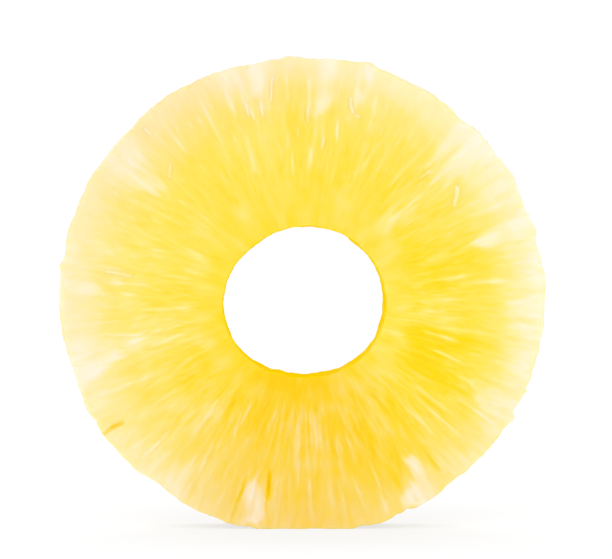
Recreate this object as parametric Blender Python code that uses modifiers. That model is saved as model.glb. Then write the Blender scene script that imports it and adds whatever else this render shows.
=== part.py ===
"""Pineapple ring: a peeled, cored slice standing upright on a flat spot of its rim.

Blender 4.5, metres, +Z up. The cut faces look along -Y (front) and +Y (back). The flat spot rests on z = 0
and the origin is the middle of the slice's footprint. Angles are seen from the front: 0 degrees points
along +X, 90 degrees up.
"""

import bmesh
import bpy
import numpy as np
from mathutils import Matrix, Vector

MM = 0.001

# Driving dimensions of the slice.
RING_RADIUS = 40.0 * MM
THICKNESS = 11.0 * MM
FLAT_DEPTH = 1.6 * MM  # how far the flat spot lies inside the full circle
FLAT_BLEND = 0.8 * MM  # the circle rounds into the flat spot over this height

# The corer's hole is a little wider than tall and sits low of the middle.
HOLE_RADIUS = 12.98 * MM
HOLE_OVAL = 0.5 * MM
HOLE_OVAL_ANGLE = 6.0
HOLE_LOBE = 0.18 * MM
HOLE_LOBE_ANGLE = 82.0
HOLE_SHIFT_X = 0.42 * MM
HOLE_SHIFT_Z = -0.85 * MM

# The peeling knife leaves the rim slightly oval, with low lumps and shallow nicks.
RIM_OVAL = 0.15 * MM
RIM_LOBE = 0.12 * MM
RIM_LOBE_ANGLE = 26.0
RIM_MARKS = (  # angle in degrees, height over the rim (negative is a nick), half-width in degrees
    (6.0, 0.2 * MM, 4.5),
    (22.0, -0.5 * MM, 3.5),
    (29.5, 0.15 * MM, 2.5),
    (50.0, -0.3 * MM, 4.0),
    (63.0, -0.15 * MM, 5.0),
    (74.0, 0.55 * MM, 1.8),
    (85.0, -0.1 * MM, 3.0),
    (103.0, -0.3 * MM, 6.0),
    (135.0, -0.3 * MM, 2.5),
    (143.0, -0.15 * MM, 5.0),
    (157.0, -0.2 * MM, 4.0),
    (169.0, -0.3 * MM, 2.2),
    (196.0, -0.35 * MM, 4.0),
    (214.5, 0.2 * MM, 2.5),
    (234.0, -0.8 * MM, 9.0),
    (249.0, -0.7 * MM, 6.0),
    (259.0, -0.8 * MM, 3.5),
    (284.0, -0.9 * MM, 5.0),
    (294.0, -0.5 * MM, 3.0),
    (300.0, -0.2 * MM, 5.0),
    (308.5, -0.5 * MM, 3.0),
    (316.0, -0.2 * MM, 8.0),
    (330.0, 0.4 * MM, 1.3),
    (351.0, 0.25 * MM, 4.0),
)

# The knife's faces are not quite flat: midway from hole to rim the thickness swings by this much.
FACE_WAVE = 0.15 * MM
FACE_WAVES_ROUND = 3

# Cross-section: straight sides and cut edges that are barely rounded.
EDGE_RADIUS = 0.3 * MM
EDGE_STEPS = 2
FACE_STEPS = 4
WALL_STEPS = 3
TURN_STEPS = 216
SEAM_MERGE = 0.01 * MM

# Splits that open into the front face: angle, distance of the middle from the axis, length, width, depth.
SPLITS = (
    (214.8, 38.4 * MM, 4.4 * MM, 0.7 * MM, 2.2 * MM),
    (251.9, 36.8 * MM, 5.2 * MM, 0.6 * MM, 2.0 * MM),
    (260.0, 32.4 * MM, 4.8 * MM, 0.7 * MM, 2.4 * MM),
)
SPLIT_TIP_SHARE = 0.3  # a split's length at its deepest, against its length at the face
SPLIT_OVERSHOOT = 1.0 * MM

FLESH_YELLOW = (0.991, 0.745, 0.100, 1.0)
FLESH_ROUGHNESS = 0.3


def clear_scene():
    for obj in list(bpy.data.objects):
        bpy.data.objects.remove(obj)


def new_collection(name):
    collection = bpy.data.collections.new(name)
    bpy.context.scene.collection.children.link(collection)
    return collection


def rim_radius(angle):
    """Radius of the rim at each angle: a near circle with its marks, cut off at the flat spot's height."""
    radius = RING_RADIUS + RIM_OVAL * np.cos(2 * angle)
    radius = radius + RIM_LOBE * np.cos(3 * (angle - np.radians(RIM_LOBE_ANGLE)))
    for degrees, height, half_width in RIM_MARKS:
        away = np.degrees(np.angle(np.exp(1j * (angle - np.radians(degrees)))))
        radius = radius + height * np.exp(-((away / half_width) ** 2))
    down = np.maximum(-np.sin(angle), 1e-6)
    flat = (RING_RADIUS - FLAT_DEPTH) / down
    near = np.clip(FLAT_BLEND - np.abs(radius - flat), 0.0, None) / FLAT_BLEND
    return np.minimum(radius, flat) - near**2 * FLAT_BLEND / 4


def hole_radius(angle):
    """Radius of the hole about its own middle."""
    oval = HOLE_OVAL * np.cos(2 * (angle - np.radians(HOLE_OVAL_ANGLE)))
    lobe = HOLE_LOBE * np.cos(3 * (angle - np.radians(HOLE_LOBE_ANGLE)))
    return HOLE_RADIUS + oval + lobe


def profile_points():
    """The cross-section as (radius, depth) pairs: a rectangle from hole to rim with rounded corners."""
    inner, outer = HOLE_RADIUS, RING_RADIUS
    half = THICKNESS / 2
    corners = (  # centre of the rounding and the angle where it starts, in the order that the outline runs
        (outer - EDGE_RADIUS, half - EDGE_RADIUS, 90, FACE_STEPS),
        (outer - EDGE_RADIUS, -half + EDGE_RADIUS, 0, WALL_STEPS),
        (inner + EDGE_RADIUS, -half + EDGE_RADIUS, -90, FACE_STEPS),
        (inner + EDGE_RADIUS, half - EDGE_RADIUS, -180, WALL_STEPS),
    )
    points = []
    for radius, depth, start, steps_before in corners:
        turn = np.radians(start - np.linspace(0, 90, EDGE_STEPS + 1))
        arc = np.stack([radius + EDGE_RADIUS * np.cos(turn), depth + EDGE_RADIUS * np.sin(turn)], 1)
        if points:
            points.extend(side_points(points[-1], arc[0], steps_before))
        points.extend(arc)
    points.extend(side_points(points[-1], points[0], FACE_STEPS))
    return points


def side_points(start, end, steps):
    """The points strictly between two corners of the cross-section."""
    shares = np.linspace(0, 1, steps + 1)[1:-1]
    return [start + (end - start) * share for share in shares]


def turned_blank():
    """A plain ring: the cross-section turned about the Y axis."""
    points = profile_points()
    count = len(points)
    profile = bpy.data.meshes.new("ring_profile")
    edges = [(i, (i + 1) % count) for i in range(count)]
    profile.from_pydata([(radius, depth, 0.0) for radius, depth in points], edges, [])
    blank = bpy.data.objects.new("ring_blank", profile)
    bpy.context.scene.collection.objects.link(blank)
    screw = blank.modifiers.new("turn", "SCREW")
    screw.axis = "Y"
    screw.steps = screw.render_steps = TURN_STEPS
    screw.use_merge_vertices = True
    screw.merge_threshold = SEAM_MERGE
    graph = bpy.context.evaluated_depsgraph_get()
    mesh = bpy.data.meshes.new_from_object(blank.evaluated_get(graph))
    bpy.data.objects.remove(blank)
    return mesh


def shape_slice(mesh):
    """Moves the plain ring's points to the slice's own outline, hole and faces. Returns where its axis is."""
    points = np.empty(len(mesh.vertices) * 3)
    mesh.vertices.foreach_get("co", points)
    points = points.reshape(-1, 3)
    angle = np.arctan2(points[:, 2], points[:, 0])
    across = np.hypot(points[:, 0], points[:, 2])
    share = (across - HOLE_RADIUS) / (RING_RADIUS - HOLE_RADIUS)
    spoke = np.stack([np.cos(angle), np.sin(angle)], 1)
    rim = rim_radius(angle)[:, None] * spoke
    hole = hole_radius(angle)[:, None] * spoke + (HOLE_SHIFT_X, HOLE_SHIFT_Z)
    flat = hole + share[:, None] * (rim - hole)
    bulge = 1 + FACE_WAVE / THICKNESS * np.cos(FACE_WAVES_ROUND * angle) * np.sin(np.pi * share)
    placed = np.stack([flat[:, 0], points[:, 1] * bulge, flat[:, 1]], 1)
    low, high = placed.min(0), placed.max(0)
    footing = np.array([(low[0] + high[0]) / 2, (low[1] + high[1]) / 2, low[2]])
    mesh.vertices.foreach_set("co", (placed - footing).ravel())
    return -footing


def face_outwards(mesh):
    """Welds the turned seam and turns every face outwards."""
    work = bmesh.new()
    work.from_mesh(mesh)
    bmesh.ops.remove_doubles(work, verts=work.verts, dist=SEAM_MERGE)
    bmesh.ops.recalc_face_normals(work, faces=work.faces)
    work.to_mesh(mesh)
    work.free()


def split_cutter(index, split, axis_at, collection):
    """A thin four-sided wedge that tapers into the flesh, with its long side along the spoke."""
    degrees, distance, length, width, depth = split
    height = depth + SPLIT_OVERSHOOT
    mesh = bpy.data.meshes.new(f"split_cutter_{index}")
    work = bmesh.new()
    bmesh.ops.create_cone(
        work,
        cap_ends=True,
        segments=4,
        radius1=length / 2,
        radius2=length / 2 * SPLIT_TIP_SHARE,
        depth=height,
        matrix=Matrix.Diagonal((1.0, width / length, 1.0, 1.0)),
    )
    work.to_mesh(mesh)
    work.free()
    cutter = bpy.data.objects.new(f"split_cutter_{index}", mesh)
    collection.objects.link(cutter)
    turn = Matrix.Rotation(-np.radians(degrees), 4, "Y")
    lay_down = Matrix.Rotation(-np.pi / 2, 4, "X")
    out = turn @ Vector((distance, 0.0, 0.0))
    into = -THICKNESS / 2 - SPLIT_OVERSHOOT + height / 2
    place = Vector(axis_at) + out + Vector((0.0, into, 0.0))
    cutter.matrix_world = Matrix.Translation(place) @ turn @ lay_down
    cutter.hide_render = True
    cutter.display_type = "WIRE"
    return cutter


def flesh_material():
    """Ripe pineapple flesh, wet with its own juice."""
    material = bpy.data.materials.new("pineapple_flesh")
    material.use_nodes = True
    shader = material.node_tree.nodes["Principled BSDF"]
    shader.inputs["Base Color"].default_value = FLESH_YELLOW
    shader.inputs["Roughness"].default_value = FLESH_ROUGHNESS
    shader.inputs["Metallic"].default_value = 0.0
    return material


def build():
    clear_scene()
    parts = new_collection("pineapple_ring")
    cutters = new_collection("cutters")
    mesh = turned_blank()
    face_outwards(mesh)
    axis_at = shape_slice(mesh)
    mesh.name = "pineapple_ring"
    mesh.materials.clear()
    mesh.materials.append(flesh_material())
    mesh.shade_smooth()
    ring = bpy.data.objects.new("pineapple_ring", mesh)
    parts.objects.link(ring)
    for index, split in enumerate(SPLITS):
        cut = ring.modifiers.new(f"split_{index}", "BOOLEAN")
        cut.operation = "DIFFERENCE"
        cut.solver = "EXACT"
        cut.object = split_cutter(index, split, axis_at, cutters)


build()
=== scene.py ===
"""Looks of the pineapple ring: wet, translucent fruit flesh whose fibres fan out from the hole.

Sizes are in millimetres until a mesh is written. Angles are seen from the front, in degrees: 0 points
along +X and 90 points up. A radius is the distance from the ring's axis, and depth runs from the front
face to the back.
"""

import bpy
import numpy as np
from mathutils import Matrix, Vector


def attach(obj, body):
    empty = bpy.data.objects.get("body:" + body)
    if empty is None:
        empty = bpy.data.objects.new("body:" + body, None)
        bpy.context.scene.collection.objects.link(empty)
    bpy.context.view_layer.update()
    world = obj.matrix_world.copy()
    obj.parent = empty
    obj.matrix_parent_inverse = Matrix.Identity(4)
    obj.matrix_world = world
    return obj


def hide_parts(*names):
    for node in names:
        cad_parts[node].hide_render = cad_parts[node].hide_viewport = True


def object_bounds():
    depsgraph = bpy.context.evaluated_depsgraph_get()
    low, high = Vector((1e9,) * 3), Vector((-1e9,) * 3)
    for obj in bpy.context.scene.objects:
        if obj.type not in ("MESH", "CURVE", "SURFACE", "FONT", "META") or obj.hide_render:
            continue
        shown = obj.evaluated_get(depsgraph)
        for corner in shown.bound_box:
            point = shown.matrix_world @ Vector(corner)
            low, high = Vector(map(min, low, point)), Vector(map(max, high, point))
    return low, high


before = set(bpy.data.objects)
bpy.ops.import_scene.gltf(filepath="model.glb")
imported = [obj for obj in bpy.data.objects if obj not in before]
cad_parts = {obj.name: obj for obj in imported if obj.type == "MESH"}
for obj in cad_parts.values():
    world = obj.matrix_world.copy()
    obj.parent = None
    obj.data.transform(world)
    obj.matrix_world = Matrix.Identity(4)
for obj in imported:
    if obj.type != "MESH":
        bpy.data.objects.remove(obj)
cad_low, cad_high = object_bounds()

MM = 0.001

# ---------------------------------------------------------------- the slice's shape, as in the CAD model

RING_RADIUS = 40.0
THICKNESS = 11.0
EDGE_RADIUS = 0.3
FLAT_DEPTH = 1.6
FLAT_BLEND = 0.8

HOLE_RADIUS = 12.98
HOLE_OVAL = 0.5
HOLE_OVAL_ANGLE = 6.0
HOLE_LOBE = 0.18
HOLE_LOBE_ANGLE = 82.0
HOLE_SHIFT = (0.42, -0.85)

RIM_OVAL = 0.15
RIM_LOBE = 0.12
RIM_LOBE_ANGLE = 26.0
RIM_MARKS = (  # angle, height over the rim (negative is a nick), half-width in degrees
    (6.0, 0.2, 4.5),
    (22.0, -0.5, 3.5),
    (29.5, 0.15, 2.5),
    (50.0, -0.3, 4.0),
    (63.0, -0.15, 5.0),
    (74.0, 0.55, 1.8),
    (85.0, -0.1, 3.0),
    (103.0, -0.3, 6.0),
    (135.0, -0.3, 2.5),
    (143.0, -0.15, 5.0),
    (157.0, -0.2, 4.0),
    (169.0, -0.3, 2.2),
    (196.0, -0.35, 4.0),
    (214.5, 0.2, 2.5),
    (234.0, -0.8, 9.0),
    (249.0, -0.7, 6.0),
    (259.0, -0.8, 3.5),
    (284.0, -0.9, 5.0),
    (294.0, -0.5, 3.0),
    (300.0, -0.2, 5.0),
    (308.5, -0.5, 3.0),
    (316.0, -0.2, 8.0),
    (330.0, 0.4, 1.3),
    (351.0, 0.25, 4.0),
)
FINE_RIM_MARKS = (  # smaller marks that only the fine surface shows
    (12.5, -0.42, 2.6),
    (20.3, 0.25, 0.8),
    (30.0, 0.2, 1.6),
    (36.2, -0.45, 0.5),
    (41.5, -0.2, 0.8),
    (47.5, -0.42, 2.4),
    (93.0, 0.25, 1.0),
    (172.6, 0.3, 0.9),
    (191.5, -0.15, 1.0),
    (208.0, 0.24, 3.0),
    (211.0, -0.2, 0.6),
    (226.0, 0.25, 3.0),
    (254.5, -0.25, 3.0),
    (257.2, -0.2, 0.8),
    (296.4, -0.4, 0.7),
    (332.0, -0.2, 0.8),
    (337.2, 0.5, 0.45),
)

# ---------------------------------------------------------------- what the flesh shows

# Pale fruitlet walls: angle and radius of the inner tip, angle and radius of the outer end, half-width
# in degrees at the tip and at the end, and how pale.
FLAMES = (
    (143.4, 29.6, 142.4, 41.5, 1.7, 6.0, 0.55),
    (109.4, 31.2, 110.0, 41.5, 1.0, 2.8, 0.61),
    (106.3, 30.6, 107.0, 41.5, 0.6, 1.2, 0.56),
    (101.8, 33.2, 101.4, 41.5, 1.9, 2.6, 0.84),
    (83.8, 29.0, 84.3, 41.5, 1.2, 3.2, 0.66),
    (75.3, 34.2, 74.0, 40.8, 0.9, 1.8, 0.60),
    (46.4, 33.0, 47.0, 41.5, 1.4, 2.6, 0.42),
    (40.6, 29.6, 38.6, 41.5, 2.6, 6.4, 0.62),
    (29.0, 32.5, 29.5, 41.5, 1.4, 3.6, 0.36),
    (17.0, 29.4, 19.4, 41.5, 1.0, 3.4, 0.73),
    (12.5, 33.5, 12.0, 41.5, 1.8, 4.0, 0.28),
    (1.5, 35.2, 1.0, 41.5, 4.5, 8.0, 0.32),
    (351.0, 35.4, 351.0, 41.5, 2.8, 5.4, 0.32),
    (333.8, 32.6, 331.8, 40.2, 2.6, 4.8, 0.50),
    (304.4, 31.6, 299.0, 40.2, 1.6, 3.4, 0.95),
    (255.6, 28.4, 257.4, 39.3, 1.1, 2.9, 0.85),
    (236.0, 32.5, 236.5, 40.0, 1.8, 5.0, 0.40),
    (228.0, 34.0, 228.4, 40.5, 1.4, 3.0, 0.35),
    (195.4, 29.6, 202.0, 41.5, 0.9, 3.8, 0.75),
    (188.4, 33.0, 188.0, 41.5, 1.4, 3.4, 0.25),
    (176.6, 30.6, 177.6, 41.5, 1.3, 3.0, 0.60),
)

# Soft patches, pale (positive) or deep yellow (negative): angle, radius, half-width in degrees,
# half-length along the spoke, and strength.
CLOUDS = (
    (0.0, 19.0, 7.0, 4.0, -0.03),
    (0.0, 24.6, 6.0, 1.6, 0.05),
    (0.0, 30.5, 7.0, 2.6, -0.07),
    (2.0, 38.8, 8.0, 1.6, 0.06),
    (8.0, 21.5, 6.0, 3.4, -0.16),
    (10.0, 14.0, 9.0, 1.2, 0.05),
    (10.5, 31.5, 2.6, 3.6, -0.10),
    (12.0, 28.0, 3.0, 4.5, -0.12),
    (14.0, 16.2, 8.0, 1.2, -0.04),
    (15.0, 18.4, 7.0, 1.4, -0.07),
    (15.0, 23.5, 7.0, 4.5, -0.09),
    (15.0, 37.4, 6.0, 1.6, -0.12),
    (16.0, 32.0, 5.0, 2.5, -0.03),
    (24.0, 20.0, 7.0, 2.6, -0.12),
    (30.0, 32.8, 6.0, 2.0, 0.08),
    (31.0, 27.4, 5.0, 1.6, -0.04),
    (41.5, 20.5, 6.0, 5.0, 0.12),
    (44.0, 38.8, 6.0, 1.2, 0.04),
    (45.0, 24.6, 6.0, 2.4, 0.08),
    (45.0, 31.5, 6.0, 2.2, -0.04),
    (48.0, 16.4, 12.0, 2.8, -0.095),
    (52.0, 22.0, 5.0, 4.5, -0.08),
    (60.0, 14.0, 9.0, 1.4, 0.05),
    (63.0, 31.0, 8.0, 5.0, -0.06),
    (68.0, 30.6, 10.0, 1.6, 0.05),
    (75.0, 24.0, 9.0, 4.5, -0.05),
    (75.0, 37.6, 6.0, 1.8, 0.07),
    (77.0, 17.0, 8.0, 4.5, 0.03),
    (90.0, 18.6, 6.0, 2.0, -0.05),
    (90.0, 25.5, 6.0, 3.0, -0.05),
    (91.0, 33.6, 6.0, 3.2, -0.04),
    (93.0, 15.4, 3.0, 0.9, -0.04),
    (93.0, 31.0, 3.0, 5.0, -0.08),
    (105.0, 16.0, 8.0, 1.4, 0.05),
    (105.0, 27.5, 5.0, 1.6, 0.06),
    (105.0, 34.2, 5.0, 2.4, 0.07),
    (107.5, 25.0, 3.6, 3.6, 0.14),
    (113.0, 15.6, 3.0, 0.9, 0.04),
    (120.0, 14.0, 9.0, 1.2, -0.04),
    (122.0, 21.5, 6.0, 1.8, 0.05),
    (131.0, 23.5, 6.0, 5.5, -0.05),
    (135.0, 24.0, 7.0, 4.0, 0.03),
    (143.6, 21.0, 3.6, 2.0, 0.12),
    (159.0, 18.8, 12.0, 2.4, 0.10),
    (165.0, 14.0, 7.0, 1.0, 0.03),
    (165.0, 33.5, 7.0, 2.0, 0.04),
    (180.0, 17.5, 7.0, 2.0, 0.06),
    (180.0, 24.5, 6.0, 1.6, -0.05),
    (180.0, 38.6, 5.0, 1.2, -0.03),
    (195.0, 21.0, 7.0, 3.4, 0.04),
    (195.0, 37.2, 7.0, 2.4, 0.07),
    (197.0, 25.0, 5.5, 6.0, 0.12),
    (210.0, 14.0, 7.0, 1.0, 0.045),
    (210.0, 17.0, 5.0, 2.2, -0.03),
    (214.0, 21.0, 6.0, 3.4, -0.10),
    (225.0, 17.2, 7.0, 2.4, -0.06),
    (231.5, 24.5, 4.0, 5.0, 0.16),
    (238.0, 14.0, 8.0, 1.2, -0.04),
    (240.0, 36.0, 6.0, 4.0, 0.08),
    (241.0, 30.0, 7.0, 9.0, 0.03),
    (248.0, 20.5, 6.0, 3.4, -0.12),
    (254.0, 36.6, 4.0, 3.0, -0.07),
    (255.0, 16.2, 6.0, 1.2, 0.125),
    (255.0, 30.5, 4.0, 1.6, 0.05),
    (257.5, 22.7, 2.2, 2.6, 0.10),
    (259.0, 14.4, 34.0, 1.5, -0.16),
    (262.0, 15.2, 2.6, 0.9, 0.07),
    (267.5, 16.4, 2.4, 0.9, -0.07),
    (268.0, 39.0, 6.0, 1.2, 0.06),
    (270.0, 18.8, 7.0, 2.4, 0.08),
    (270.0, 21.8, 7.0, 5.0, 0.235),
    (270.0, 33.0, 6.0, 1.4, -0.05),
    (273.0, 22.6, 6.0, 3.8, 0.22),
    (275.5, 15.0, 2.6, 0.8, -0.06),
    (281.0, 15.8, 2.2, 0.9, 0.06),
    (282.4, 22.8, 1.8, 2.4, -0.12),
    (285.0, 21.5, 6.0, 1.8, -0.04),
    (285.0, 30.5, 6.0, 1.6, 0.04),
    (287.0, 15.8, 8.0, 1.8, 0.10),
    (290.0, 30.0, 8.0, 4.0, -0.08),
    (295.0, 23.5, 3.0, 2.8, -0.12),
    (297.2, 33.8, 1.2, 2.2, -0.24),
    (300.0, 14.8, 8.0, 2.0, 0.13),
    (300.0, 20.0, 7.0, 7.0, 0.05),
    (300.0, 25.5, 7.0, 3.6, 0.08),
    (300.0, 37.0, 4.0, 1.2, -0.045),
    (300.4, 30.4, 1.4, 2.2, -0.24),
    (304.5, 21.8, 2.4, 2.0, 0.10),
    (311.0, 23.0, 2.4, 2.2, -0.18),
    (314.0, 17.2, 10.0, 1.8, 0.06),
    (330.0, 13.8, 6.0, 1.2, -0.05),
    (330.0, 23.8, 3.8, 4.4, -0.40),
    (331.0, 33.2, 6.0, 1.8, -0.24),
    (340.4, 22.0, 5.8, 3.2, -0.44),
    (345.0, 15.4, 9.0, 3.2, 0.155),
    (345.5, 29.5, 1.6, 3.8, -0.20),
    (355.0, 22.5, 5.5, 3.4, 0.14),
)
CORE = (16.8, 19.4)  # radii between which the plain, firm core gives way to the fibrous flesh

# Long fibres: angle and radius of the inner and the outer end, half-width, and how pale (negative is
# deeper yellow).
RAYS = (
    (16.4, 21.0, 17.4, 26.0, 0.34, 0.17),
    (24.9, 30.8, 25.4, 40.0, 0.36, 0.14),
    (29.2, 25.6, 28.8, 34.0, 0.36, 0.13),
    (44.0, 30.0, 43.8, 37.5, 0.35, -0.18),
    (51.6, 24.6, 50.6, 34.0, 0.26, 0.11),
    (59.6, 21.6, 60.0, 34.0, 0.30, 0.13),
    (66.0, 21.0, 62.5, 31.0, 0.30, 0.13),
    (68.4, 29.0, 70.0, 37.0, 0.32, 0.13),
    (77.4, 26.2, 79.2, 31.2, 0.22, 0.26),
    (86.3, 20.8, 85.3, 30.0, 0.24, 0.16),
    (87.6, 19.8, 86.8, 25.4, 0.40, 0.20),
    (87.6, 28.2, 88.3, 37.4, 0.28, 0.24),
    (94.2, 32.2, 94.0, 37.0, 0.24, 0.20),
    (94.3, 20.0, 93.8, 24.6, 0.26, 0.23),
    (110.8, 21.4, 109.0, 28.0, 0.42, 0.20),
    (117.5, 27.4, 117.2, 39.4, 0.28, 0.16),
    (122.7, 19.2, 122.4, 23.8, 0.26, 0.15),
    (128.6, 29.6, 128.4, 38.0, 0.30, 0.10),
    (131.8, 29.0, 131.8, 38.0, 0.30, 0.09),
    (138.6, 30.4, 138.8, 37.5, 0.35, 0.10),
    (141.4, 31.4, 141.8, 38.5, 0.35, 0.12),
    (144.2, 30.6, 144.4, 37.0, 0.35, 0.12),
    (146.2, 31.0, 146.8, 38.0, 0.35, 0.10),
    (162.2, 21.6, 161.0, 32.0, 0.36, 0.11),
    (175.1, 25.0, 175.8, 32.8, 0.26, 0.15),
    (179.3, 26.2, 178.6, 30.4, 0.28, 0.14),
    (185.2, 18.4, 184.0, 27.4, 0.28, 0.15),
    (187.4, 26.6, 187.2, 34.0, 0.30, 0.15),
    (193.6, 26.0, 189.6, 35.0, 0.26, 0.15),
    (208.4, 23.6, 207.0, 30.4, 0.30, 0.17),
    (215.8, 24.6, 216.4, 34.0, 0.28, 0.13),
    (225.2, 30.4, 225.3, 38.4, 0.28, 0.13),
    (237.6, 25.6, 240.0, 35.0, 0.26, 0.15),
    (239.2, 19.6, 240.8, 30.0, 0.24, 0.18),
    (244.0, 18.6, 244.7, 24.0, 0.32, 0.18),
    (257.0, 18.6, 256.4, 21.6, 0.22, 0.16),
    (264.0, 29.0, 263.0, 39.0, 0.28, 0.15),
    (264.8, 21.0, 265.6, 28.4, 0.28, 0.20),
    (265.4, 24.6, 266.8, 38.0, 0.26, 0.15),
    (269.2, 23.6, 268.6, 31.6, 0.24, 0.12),
    (272.0, 21.6, 272.6, 38.6, 0.40, 0.18),
    (276.3, 20.0, 273.6, 31.0, 0.45, 0.18),
    (279.2, 24.0, 278.2, 38.6, 0.40, 0.13),
    (281.3, 30.6, 281.6, 38.0, 0.22, 0.18),
    (283.7, 23.2, 282.2, 32.6, 0.30, 0.28),
    (285.6, 29.0, 286.6, 36.6, 0.26, 0.20),
    (287.5, 22.6, 288.4, 29.6, 0.26, 0.28),
    (290.3, 21.2, 290.2, 26.4, 0.20, 0.15),
    (291.8, 34.4, 291.7, 39.4, 0.26, 0.16),
    (292.0, 27.0, 292.4, 34.8, 0.26, 0.22),
    (308.4, 30.8, 308.6, 37.0, 0.30, -0.22),
    (310.1, 26.6, 310.7, 37.0, 0.24, 0.15),
    (313.3, 23.6, 313.8, 31.6, 0.26, 0.16),
    (318.8, 18.6, 318.9, 38.0, 0.26, 0.20),
    (322.0, 23.0, 322.4, 32.0, 0.28, 0.17),
    (327.1, 30.4, 326.8, 39.0, 0.26, 0.20),
    (329.0, 26.0, 329.6, 33.0, 0.36, -0.12),
    (331.4, 20.6, 331.6, 27.0, 0.24, 0.16),
    (333.2, 25.0, 333.4, 32.0, 0.30, 0.22),
    (333.4, 19.4, 333.0, 26.0, 0.40, -0.14),
    (335.6, 20.4, 335.2, 28.0, 0.24, 0.28),
    (338.8, 19.2, 337.8, 28.5, 0.26, 0.36),
    (341.5, 19.0, 341.2, 24.5, 0.22, 0.24),
    (341.6, 28.4, 342.0, 39.0, 0.30, 0.20),
    (342.8, 25.0, 343.2, 34.0, 0.34, -0.14),
    (344.6, 19.2, 344.0, 28.0, 0.26, 0.30),
    (348.0, 23.0, 349.0, 34.0, 0.28, 0.12),
)

# Splits and folds: side (-1 front, 1 back), angle and radius of both ends, half-width, depth.
CREASES = (
    (-1, 215.0, 35.8, 214.3, 38.6, 0.32, 0.26),
    (-1, 214.2, 37.6, 214.8, 40.8, 0.30, 0.22),
    (-1, 252.8, 30.8, 252.0, 39.6, 0.24, 0.21),
    (-1, 259.1, 29.2, 261.1, 34.0, 0.42, 0.50),
    (-1, 260.3, 33.0, 261.6, 38.4, 0.28, 0.14),
    (-1, 301.4, 28.6, 298.6, 35.6, 0.36, 0.10),
    (-1, 308.6, 30.4, 308.2, 36.4, 0.26, 0.04),
    (-1, 306.2, 33.4, 303.9, 39.2, 0.24, 0.04),
    (-1, 20.4, 33.0, 21.7, 40.2, 0.22, 0.03),
    (1, 118.0, 32.5, 117.0, 39.5, 0.34, 0.18),
    (1, 287.0, 31.0, 288.0, 37.0, 0.32, 0.12),
    (1, 20.0, 32.0, 21.0, 38.0, 0.28, 0.08),
    (1, 207.0, 29.5, 205.5, 36.5, 0.28, 0.06),
)

# Fibres that lie bare on the front: angle and radius of both ends, bend, half-width, and how much
# lighter they are than the flesh, which is partly pale fibre and partly a painted glint of wet juice.
STRANDS = (
    (30.7, 29.2, 36.0, 31.9, 0.0, 0.46, 0.24),
    (138.2, 29.4, 134.0, 31.2, 0.1, 0.26, 0.15),
    (172.4, 33.0, 172.9, 28.0, -0.1, 0.26, 0.14),
    (98.9, 32.6, 97.6, 37.0, 0.1, 0.20, 0.19),
    (76.2, 34.4, 74.0, 31.6, 0.4, 0.30, 0.17),
    (74.0, 31.6, 71.6, 31.3, 0.2, 0.26, 0.17),
    (106.3, 31.2, 106.1, 33.6, 0.0, 0.30, 0.16),
    (102.2, 30.6, 102.0, 33.4, 0.0, 0.28, 0.16),
    (88.0, 28.8, 88.2, 31.4, 0.1, 0.28, 0.14),
    (82.5, 24.8, 82.2, 27.0, 0.0, 0.28, 0.13),
    (91.6, 26.2, 91.4, 28.1, 0.0, 0.24, 0.10),
    (132.8, 36.6, 133.0, 38.4, 0.0, 0.32, 0.08),
    (45.4, 27.8, 44.6, 30.0, 0.1, 0.30, 0.14),
)

RIPENESS = (  # how yellow the flesh is at a radius, from cream (0) to golden (1)
    (12.0, 0.77),
    (13.6, 0.70),
    (14.6, 0.69),
    (17.0, 0.67),
    (21.5, 0.68),
    (24.5, 0.66),
    (27.5, 0.61),
    (30.5, 0.54),
    (33.0, 0.45),
    (35.0, 0.36),
    (36.7, 0.28),
    (38.2, 0.22),
    (40.0, 0.19),
)

# How the sides differ: angle, how much riper the flesh is near the hole, halfway and at the rim, and how
# warm its yellow is near the hole and at the rim. The riper, warmer yellow at the bottom is partly the
# flesh's own and partly painted shade towards the floor; the warmer rim at the upper left is likewise
# partly the flesh's own and partly painted shade.
SIDES = (
    (0.0, 0.00, 0.10, -0.08, 0.03, 0.05),
    (35.0, -0.03, 0.01, -0.06, 0.16, 0.12),
    (65.0, -0.02, 0.00, -0.01, 0.20, 0.24),
    (100.0, 0.00, -0.02, 0.01, 0.18, 0.62),
    (130.0, 0.02, -0.02, 0.04, 0.20, 0.66),
    (165.0, 0.01, -0.07, -0.02, 0.10, 0.36),
    (195.0, 0.04, -0.12, -0.04, 0.15, 0.33),
    (212.0, 0.08, -0.05, 0.05, 0.27, 0.24),
    (228.0, 0.14, -0.03, 0.02, 0.36, 0.30),
    (250.0, 0.26, 0.08, 0.16, 0.74, 0.80),
    (272.0, 0.22, 0.10, 0.34, 0.78, 1.00),
    (290.0, 0.09, 0.20, 0.26, 0.74, 0.64),
    (315.0, -0.01, 0.14, 0.11, 0.26, 0.26),
    (340.0, -0.02, 0.17, -0.02, 0.00, 0.10),
)
HALFWAY = 27.5  # the radius that the list above calls halfway

FLESH_COLOURS = (  # from cream to golden
    (0.0, "fff2de"),
    (0.2, "ffedb4"),
    (0.4, "ffe888"),
    (0.6, "ffe35e"),
    (0.8, "ffde35"),
    (1.0, "ffda0c"),
)
WARM_SHADED_COLOURS = (  # the same where the flesh is ripest, at the bottom; its darker tone is partly painted shade
    (0.0, "fde8d0"),
    (0.2, "fadeae"),
    (0.4, "f9d687"),
    (0.6, "fad15f"),
    (0.8, "fccf37"),
    (1.0, "fcca0c"),
)
# Painted light too: there light has gone through more flesh.
SHADED_DEEP_GOLD = "ffd200"  # painted shade deep in a split and on the hole's wall
FRUITLET_LEAN = 9.0  # degrees that the fruitlets turn from the front face to the back
FIBROUS_SIDE = 290.0  # the angle at which the fibres show most

# ---------------------------------------------------------------- fineness of the meshes and fibres

AROUND = 1200  # points round the ring

# Rows of faces on each rounded edge, and on each straight run between two of them.
EDGE_ROWS = 2
RIM_ROWS = 11
BACK_ROWS = 20
HOLE_ROWS = 6
FRONT_ROWS = 38

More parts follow.
